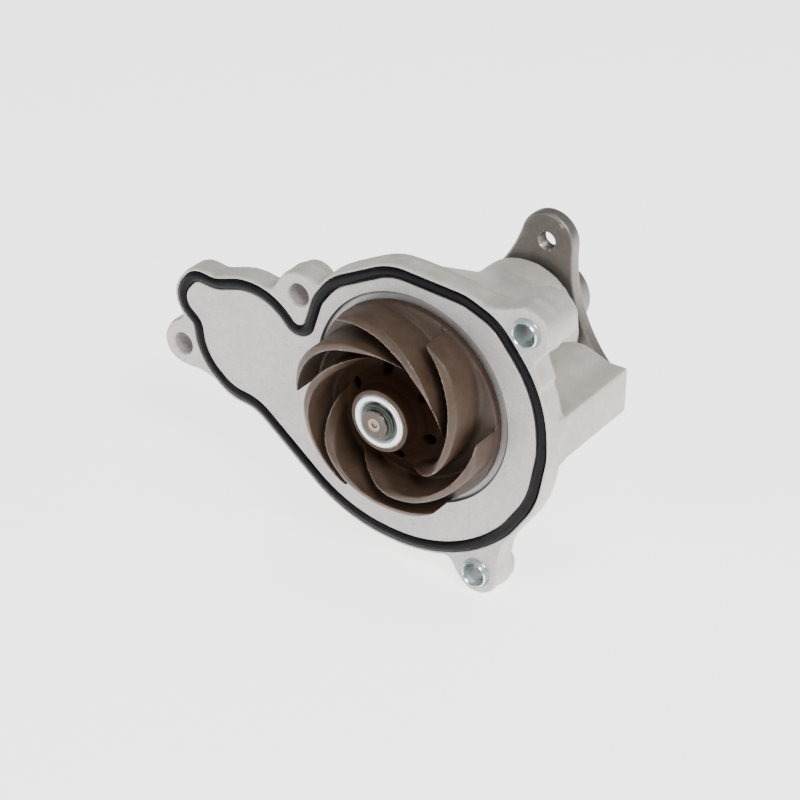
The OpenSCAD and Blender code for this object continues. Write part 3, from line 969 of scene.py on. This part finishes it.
def bolt_tool(hole, sleeve, end):
    if sleeve:
        wide = SLEEVE_PRESS_R + FIT
        profile = [(0, -2), (wide + 0.4, -2), (wide + 0.4, -0.02), (wide, 0.4),
                   (wide, SLEEVE_L - SLEEVE_PROUD), (BOLT_R, SLEEVE_L - SLEEVE_PROUD)]
    else:
        profile = [(0, -2), (BOLT_R + 0.4, -2), (BOLT_R + 0.4, -0.02), (BOLT_R, 0.45)]
    profile += [(BOLT_R, end), (0, end)]
    return lathe("bolt_tool", profile, hole, 72)


def rod_tool(radius, start, end, at):
    return lathe("rod_tool", [(0, start), (radius, start), (radius, end), (0, end)], at, 96)


def weep_tool():
    rod = rod_tool(WEEP_R, 0, 44, (0, 0))
    turn = Matrix.Translation((0, WEEP_Y * MM, 0)) @ Matrix.Rotation(math.radians(-90), 4, "X")
    rod.data.transform(turn)
    return rod


def slab_tool(start, end):
    corners = [(-100, -70), (-100, 50), (56, 50), (56, -70)]
    return diced(extruded("slab_tool", corners, start, end), 4)


def mark_machined(obj):
    """Gives the faces that a cutter left the second material."""
    mesh = obj.data
    normal = face_values(mesh, "normal")
    x, y, z = face_values(mesh, "center").T / MM
    along = np.abs(normal[:, 1])
    axis_r = np.hypot(x, z)
    face = (np.abs(y) < 0.02) & (normal[:, 1] < -0.9)
    groove = (np.abs(y - GROOVE_DEPTH / 2) < GROOVE_DEPTH / 2 + 0.01) & (along > 0.999)
    groove &= axis_r > RECESS_R + 1
    inward = (x * normal[:, 0] + z * normal[:, 2]) < 0
    recess = (y < POCKET_DEPTH + 0.05) & (axis_r < RECESS_R + 0.5)
    bore = (axis_r < BEARING_R + 1.1) & (inward | (along > 0.5))
    rear = (y > BARREL_END - 0.05) & (normal[:, 1] > 0.9)
    cut = face | recess | bore | rear
    for hole in WING_HOLES + SLEEVE_HOLES:
        away = np.hypot(x - hole[0], z - hole[1])
        cut |= away < SLEEVE_R + 0.95
        groove &= away > EAR_R
    cut |= groove
    mesh.polygons.foreach_set("material_index", cut.astype(np.int32))


def make_housing(cast, milled):
    g = Field(*HOUSING_BOX, HOUSING_STEP)
    obj = net_object("pump_housing", casting_field(g), g)
    tools = [slab_tool(-20, 0), slab_tool(BARREL_END, BARREL_END + 20), bore_tool(), groove_tool()]
    tools += [bolt_tool(hole, hole in SLEEVE_HOLES, 30) for hole in WING_HOLES + SLEEVE_HOLES]
    tools += [rod_tool(SPOT_FACE_R, UPPER_BOSS_L, BARREL_END, UPPER_HOLE),
              rod_tool(LUG_R - LUG_WALL, LUG_END - LUG_HOLLOW, LUG_END + 2, LUG_AT),
              weep_tool()]
    steps = [("DIFFERENCE", tool) for tool in tools]
    carved(obj, steps)
    paint(obj, cast, milled)
    smooth(obj, 35)
    mark_machined(obj)
    return piece(obj, "housing", "cast_aluminium", "housing")


# ---------- seal and sleeves ----------


def make_seal(material):
    """Rubber seal with a crowned face."""
    half, low = SEAL_W / 2, GROOVE_DEPTH - 0.12
    path = softened(resampled(rounded_outline(GROOVE_CORNERS, -GROOVE_W / 2), 0.8), 6)
    # The seal sits a little off the middle of its groove, now to one side, now to the other
    sway = 0.16 * np.sin(np.linspace(0, 10 * math.pi, len(path), endpoint=False))
    along = np.roll(path, -1, 0) - np.roll(path, 1, 0)
    along /= np.linalg.norm(along, axis=1)[:, None]
    path = path + np.stack([-along[:, 1], along[:, 0]], axis=1) * sway[:, None]
    profile = [(-half + 0.2, low), (-half, low - 0.2), (-half, 0.35)]
    crown = 0.95
    for t in np.linspace(0, 1, 9):
        angle = math.pi * (1 - t)
        across = math.cos(angle)
        rise = SEAL_PROUD * (1 - abs(across) ** 2.4)
        profile.append((across * half * crown, 0.1 - rise))
    profile += [(half, 0.35), (half, low - 0.2), (half - 0.2, low)]
    obj = swept("flange_seal_ring", path, profile)
    smooth(obj, 50)
    return piece(obj, "housing", "seal_rubber", "flange_seal", material)


def make_sleeve(name, hole, node, material):
    end = SLEEVE_L - SLEEVE_PROUD - 0.05
    profile = [(BOLT_R, -SLEEVE_PROUD + 0.4), (BOLT_R + 0.3, -SLEEVE_PROUD),
               (SLEEVE_R - 0.35, -SLEEVE_PROUD), (SLEEVE_R, -SLEEVE_PROUD + 0.4),
               (SLEEVE_R, 0), (SLEEVE_PRESS_R, 0.3), (SLEEVE_PRESS_R, end - 0.4),
               (SLEEVE_PRESS_R - 0.35, end), (BOLT_R + 0.3, end), (BOLT_R, end - 0.3)]
    obj = lathe(name, rounded_profile(profile, 0.18, 3), hole, 96)
    smooth(obj, 40)
    return piece(obj, "housing", "zinc_steel", node, material)


# ---------- impeller ----------


def hub_field(g):
    """Disc, hub and skirt of the impeller, from their radius-station outline."""
    outline = np.array([
        (0, -15.5), (9.7, -15.5), (10.2, -11.5), (12, -9.2), (13.5, -8.5), (20, -6.2),
        (30.9, -2.6), (IMPELLER_R, -2.2), (IMPELLER_R, RIM_BACK), (28.6, RIM_BACK),
        (27.6, -0.7), (15, -5), (12.2, -5), (12.2, IMPELLER_BACK), (0, IMPELLER_BACK)],
        np.float32)
    # Measured once on a flat sheet of radius and station, then read at each point's radius
    radii = np.arange(0, 46, 0.2, dtype=np.float32)
    sheet = Field((0, 0, 0), (1, 1, 1), 1)
    sheet.x = radii[:, None, None]
    sheet.z = g.y.reshape(1, 1, -1)
    table = sheet.polygon(outline)[:, 0, :]
    away = np.hypot(g.x, g.z)[:, 0, :]
    slices = [np.interp(away, radii, table[:, k]) for k in range(table.shape[1])]
    return np.stack(slices, axis=1).astype(np.float32)


def blades_field(g):
    plan = blade_outline()
    flat = None
    for k in range(BLADE_COUNT):
        turn = math.radians(BLADE_START + k * 360 / BLADE_COUNT)
        c, s = math.cos(turn), math.sin(turn)
        rotated = plan @ np.array([[c, s], [-s, c]])
        one = g.polygon(rotated)
        flat = one if flat is None else np.minimum(flat, one)
    radii, tops = np.array(BLADE_TOP, float).T
    fine = np.linspace(radii[0], radii[-1], 400)
    height = np.interp(fine, radii, tops)
    kernel = np.hanning(31)
    padded = np.pad(height, 15, mode="edge")
    height = np.convolve(padded, kernel / kernel.sum(), mode="valid")
    away = np.hypot(g.x, g.z)
    top = np.interp(away, fine, height).astype(np.float32)
    below = (top - g.y) * 0.75
    blade = common(flat, below, 0.5)
    blade = np.maximum(blade, g.y + 1.6)
    return common(blade, away - IMPELLER_R, 0.5)


def make_impeller(material):
    g = Field(*IMPELLER_BOX, IMPELLER_STEP)
    body = joined(hub_field(g), blades_field(g), 1.1)
    for k in range(BLADE_COUNT):
        hole = polar(BALANCE_AT, BALANCE_START + k * 360 / BLADE_COUNT)
        drilled = g.prism(g.disc(BALANCE_R, hole), -14, 4)
        body = common(body, -drilled, 0.4)
    obj = net_object("pump_impeller", body, g)
    bore = lathe("bore", [(0, -30), (INSERT_R + FIT, -30), (INSERT_R + FIT, 30), (0, 30)])
    carved(obj, [("DIFFERENCE", bore)])
    thinned(obj, MOST_FACES)
    smooth(obj, 60)
    return piece(obj, "rotor", "brown_phenolic", "impeller", material)


def make_insert(material):
    profile = [(NOSE_R + FIT, INSERT_START + 0.8), (NOSE_R + 0.8, INSERT_START),
               (INSERT_R - 0.4, INSERT_START), (INSERT_R, INSERT_START + 0.4),
               (INSERT_R, IMPELLER_BACK), (NOSE_R + FIT, IMPELLER_BACK)]
    obj = lathe("hub_insert", rounded_profile(profile, 0.15, 3), segments=128)
    smooth(obj, 40)
    return piece(obj, "rotor", "insert_steel", "impeller_insert", material)


def ball_groove(station):
    """Outline of the groove that a row of balls runs in, seen from the shaft."""
    half = math.acos((PITCH_R - SHAFT_R) / BALL_GROOVE_R)
    points = []
    for t in np.linspace(-half, half, 13):
        points.append((PITCH_R - BALL_GROOVE_R * math.cos(t),
                       station + BALL_GROOVE_R * math.sin(t)))
    return points


def make_shaft(material):
    y = NOSE_START
    profile = [(0, y + 1.5), (0.95, y + 0.75), (1.0, y + 0.3), (1.85, y + 0.02), (2.0, y + 0.05),
               (3.9, y + 0.05), (4.3, y + 0.15), (4.55, y + 0.6), (4.6, y + 1.0),
               (5.0, y + 1.15), (5.05, y + 1.6), (5.4, y + 1.7), (5.45, y + 2.1),
               (5.3, y + 2.25), (5.3, y + 2.6), (NOSE_R, y + 2.9),
               (NOSE_R, SHOULDER), (SHAFT_R - 1, SHOULDER), (SHAFT_R, SHOULDER + 1)]
    for station in ROW_STATIONS:
        profile += ball_groove(station)
    end = SHAFT_END
    profile += [(SHAFT_R, end - 1), (SHAFT_R - 0.3, end - 0.3), (SHAFT_R - 1, end),
                (2.3, end), (2.1, end - 0.2), (0, end - 2.3)]
    obj = lathe("pump_shaft", profile, segments=128)
    smooth(obj, 35)
    return piece(obj, "rotor", "shaft_steel", "shaft", material)


# ---------- drive flange ----------


def thread_tool(at):
    """A screw-shaped cutter: M6 with a 1 mm pitch."""
    pitch, depth, per_turn, around = 1.0, 0.42, 12, 48
    start, end = PLATE_START - 1.5, PLATE_END + 1.5
    rows = int((end - start) / pitch * per_turn)
    points = []
    for i in range(rows + 1):
        y = start + (end - start) * i / rows
        for k in range(around):
            phase = (y / pitch - k / around) % 1.0
            radius = THREAD_CORE_R + depth * (1 - abs(2 * phase - 1))
            a = 2 * math.pi * k / around
            points.append((at[0] + radius * math.cos(a), y, at[1] + radius * math.sin(a)))
    return closed_object("thread_tool", points, tube_faces(rows, around, clockwise=False))


def countersink(at, y, away):
    wide = THREAD_CORE_R + 0.55
    profile = [(0, y - away), (wide, y - away), (wide, y), (THREAD_CORE_R - 0.3, y + away * 1.4),
               (0, y + away * 1.4)]
    return lathe("countersink", profile, at, 64)


def make_drive_flange(material):
    obj = extruded("pulley_flange", plate_outline(), PLATE_START, PLATE_END)
    bevel = obj.modifiers.new("bevel", "BEVEL")
    bevel.width, bevel.segments = 0.9 * MM, 4
    bevel.limit_method, bevel.angle_limit = "ANGLE", math.radians(60)
    diced(applied(obj), 1.5)
    collar = [(0, PLATE_START + 1), (12.6, PLATE_START + 1), (12.6, PLATE_END + 0.3),
              (12.1, PLATE_END + 0.55), (11.4, PLATE_END + 0.9), (COLLAR_R, PLATE_END + 1.5),
              (COLLAR_R, COLLAR_END - 0.8), (COLLAR_R - 0.25, COLLAR_END - 0.25),
              (COLLAR_R - 0.8, COLLAR_END), (0, COLLAR_END)]
    bore = [(0, PLATE_START - 2), (SHAFT_R + 0.8, PLATE_START - 2), (SHAFT_R + 0.8, PLATE_START),
            (SHAFT_R + FIT, PLATE_START + 0.8), (SHAFT_R + FIT, COLLAR_END - 0.6),
            (SHAFT_R + 0.6, COLLAR_END), (SHAFT_R + 0.6, COLLAR_END + 2), (0, COLLAR_END + 2)]
    steps = [("UNION", lathe("collar", collar, segments=128)),
             ("DIFFERENCE", lathe("bore", bore, segments=128))]
    for a in ARM_ANGLES:
        at = polar(HOLE_CIRCLE_R, a)
        steps.append(("DIFFERENCE", thread_tool(at)))
        steps.append(("DIFFERENCE", countersink(at, PLATE_START, 1)))
        steps.append(("DIFFERENCE", countersink(at, PLATE_END, -1)))
    carved(obj, steps)
    smooth(obj, 35)
    return piece(obj, "rotor", "flange_steel", "drive_flange", material)


# ---------- spring ----------


def make_spring(material):
    """Coil spring of the face seal, round wire with closed end turns."""
    coil_r, wire_r, start, end, turns = 12.2, 0.5, 10.9, 17.2, 4.5
    around, per_turn = 12, 48
    rings = int(turns * per_turn)
    points = []
    for i in range(rings + 1):
        t = i / rings
        lift = 3 * t * t - 2 * t ** 3
        y = start + wire_r + (end - start - 2 * wire_r) * (0.35 * t + 0.65 * lift)
        a = 2 * math.pi * turns * t
        for k in range(around):
            b = 2 * math.pi * k / around
            r = coil_r + wire_r * math.cos(b)
            points.append((r * math.cos(a), y + wire_r * math.sin(b), r * math.sin(a)))
    obj = closed_object("coil_spring", points, tube_faces(rings, around, clockwise=True))
    smooth(obj, 50)
    return piece(obj, "housing", "spring_steel", "seal_spring", material)


# ---------- the pump ----------


def build_pump():
    black = rubber()
    bearing = steel("bearing_steel", (0.52, 0.52, 0.53), (0.66, 0.66, 0.67), rough=(0.15, 0.28))
    pressed = steel("pressed_steel", (0.50, 0.48, 0.43), (0.64, 0.62, 0.57), rough=(0.2, 0.34))
    make_housing(cast_metal(), machined_metal())
    make_seal(black)
    plated = zinc()
    make_sleeve("upper_sleeve", UPPER_HOLE, "upper_locating_sleeve", plated)
    make_sleeve("lower_sleeve", LOWER_HOLE, "lower_locating_sleeve", plated)
    make_impeller(phenolic())
    make_insert(steel("insert_steel", (0.62, 0.64, 0.65), (0.74, 0.76, 0.77), metallic=0.7,
                      rough=(0.3, 0.42)))
    make_shaft(shaft_metal())
    make_drive_flange(sintered())
    make_spring(steel("spring_steel", (0.5, 0.5, 0.51), (0.64, 0.65, 0.66)))
    polymer = plain("cage_polymer", (0.60, 0.50, 0.31), (0.72, 0.63, 0.43), (0.4, 0.55))
    carried = {
        "bearing_outer_ring": bearing, "front_ball_row": bearing, "rear_ball_row": bearing,
        "front_ball_cage": polymer, "rear_ball_cage": polymer,
        "front_bearing_seal": black, "rear_bearing_seal": black, "seal_cup": pressed,
        "seal_bellows": black, "spring_retainer": pressed,
        "carbon_ring": plain("carbon", (0.018, 0.018, 0.02), (0.04, 0.04, 0.043), (0.3, 0.42)),
        "mating_ring": plain("silicon_carbide", (0.05, 0.05, 0.055), (0.09, 0.09, 0.095),
                             (0.18, 0.28)),
        "mating_ring_boot": black, "slinger": pressed}
    for node, material in carried.items():
        paint(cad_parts[node], material)


# ---------- floor, light and camera ----------

AZIMUTH, ELEVATION = 35.2, 30.65
DISTANCE = 700.0
SHIFT_RIGHT, SHIFT_UP = 2.98, 0.38
LENS = 110.25
FLOOR_DROP = 0.05
FLOOR_GLOW = 2.1


def camera_axes():
    a, e = math.radians(AZIMUTH), math.radians(ELEVATION)
    right = Vector((math.cos(a), math.sin(a), 0))
    back = Vector((math.sin(a) * math.cos(e), -math.cos(a) * math.cos(e), math.sin(e)))
    return right, back.cross(right), back


def make_camera():
    right, up, back = camera_axes()
    at = (-SHIFT_RIGHT * right - SHIFT_UP * up + DISTANCE * back) * MM
    camera = bpy.data.objects.new("camera", bpy.data.cameras.new("camera"))
    camera.matrix_world = Matrix(((right.x, up.x, back.x, at.x), (right.y, up.y, back.y, at.y),
                                  (right.z, up.z, back.z, at.z), (0, 0, 0, 1)))
    camera.data.sensor_width = 36
    camera.data.lens = LENS
    bpy.context.scene.collection.objects.link(camera)
    bpy.context.scene.camera = camera


def make_floor():
    low = cad_box[0][2] - FLOOR_DROP * MM
    size = 4.0
    n = 24
    ticks = np.linspace(-size, size, n + 1)
    points = [(x, y, low) for y in ticks for x in ticks]
    faces = [[j * (n + 1) + i, j * (n + 1) + i + 1, (j + 1) * (n + 1) + i + 1,
              (j + 1) * (n + 1) + i] for j in range(n) for i in range(n)]
    floor = new_object("floor", points, faces)
    nodes = Nodes("floor_paper")
    tone = nodes.noise(6, 2, 0.5)
    color = nodes.mix(tone, (0.93, 0.93, 0.93), (0.95, 0.95, 0.95))
    normal = nodes.bump(nodes.noise(900, 2, 0.5), 0.00002, 0.1)
    paint(floor, nodes.finish(color, 0.9, normal, Specular_IOR_Level=0.1,
                              Emission_Color=(1, 1, 1, 1), Emission_Strength=FLOOR_GLOW))


def make_area(name, at, aim, size, power):
    light = bpy.data.lights.new(name, "AREA")
    light.shape, light.size, light.energy = "DISK", size, power
    obj = bpy.data.objects.new(name, light)
    obj.location = at
    toward = Vector(aim) - Vector(at)
    obj.rotation_euler = toward.to_track_quat("-Z", "Y").to_euler()
    bpy.context.scene.collection.objects.link(obj)


def make_light():
    world = bpy.data.worlds.new("studio")
    bpy.context.scene.world = world
    world.use_nodes = True
    background = world.node_tree.nodes["Background"]
    background.inputs["Color"].default_value = (1.0, 1.0, 1.0, 1)
    background.inputs["Strength"].default_value = 0.42
    make_area("key", (0.8, -0.5, 0.95), (0, 0.02, 0), 0.5, 18.0)
    make_area("front", (-0.35, -1.2, 0.5), (0, 0, 0), 0.6, 5.5)
    make_area("top", (0.1, 0.1, 1.3), (0, 0, 0), 0.6, 4.0)


make_camera()
make_floor()
make_light()
build_pump()
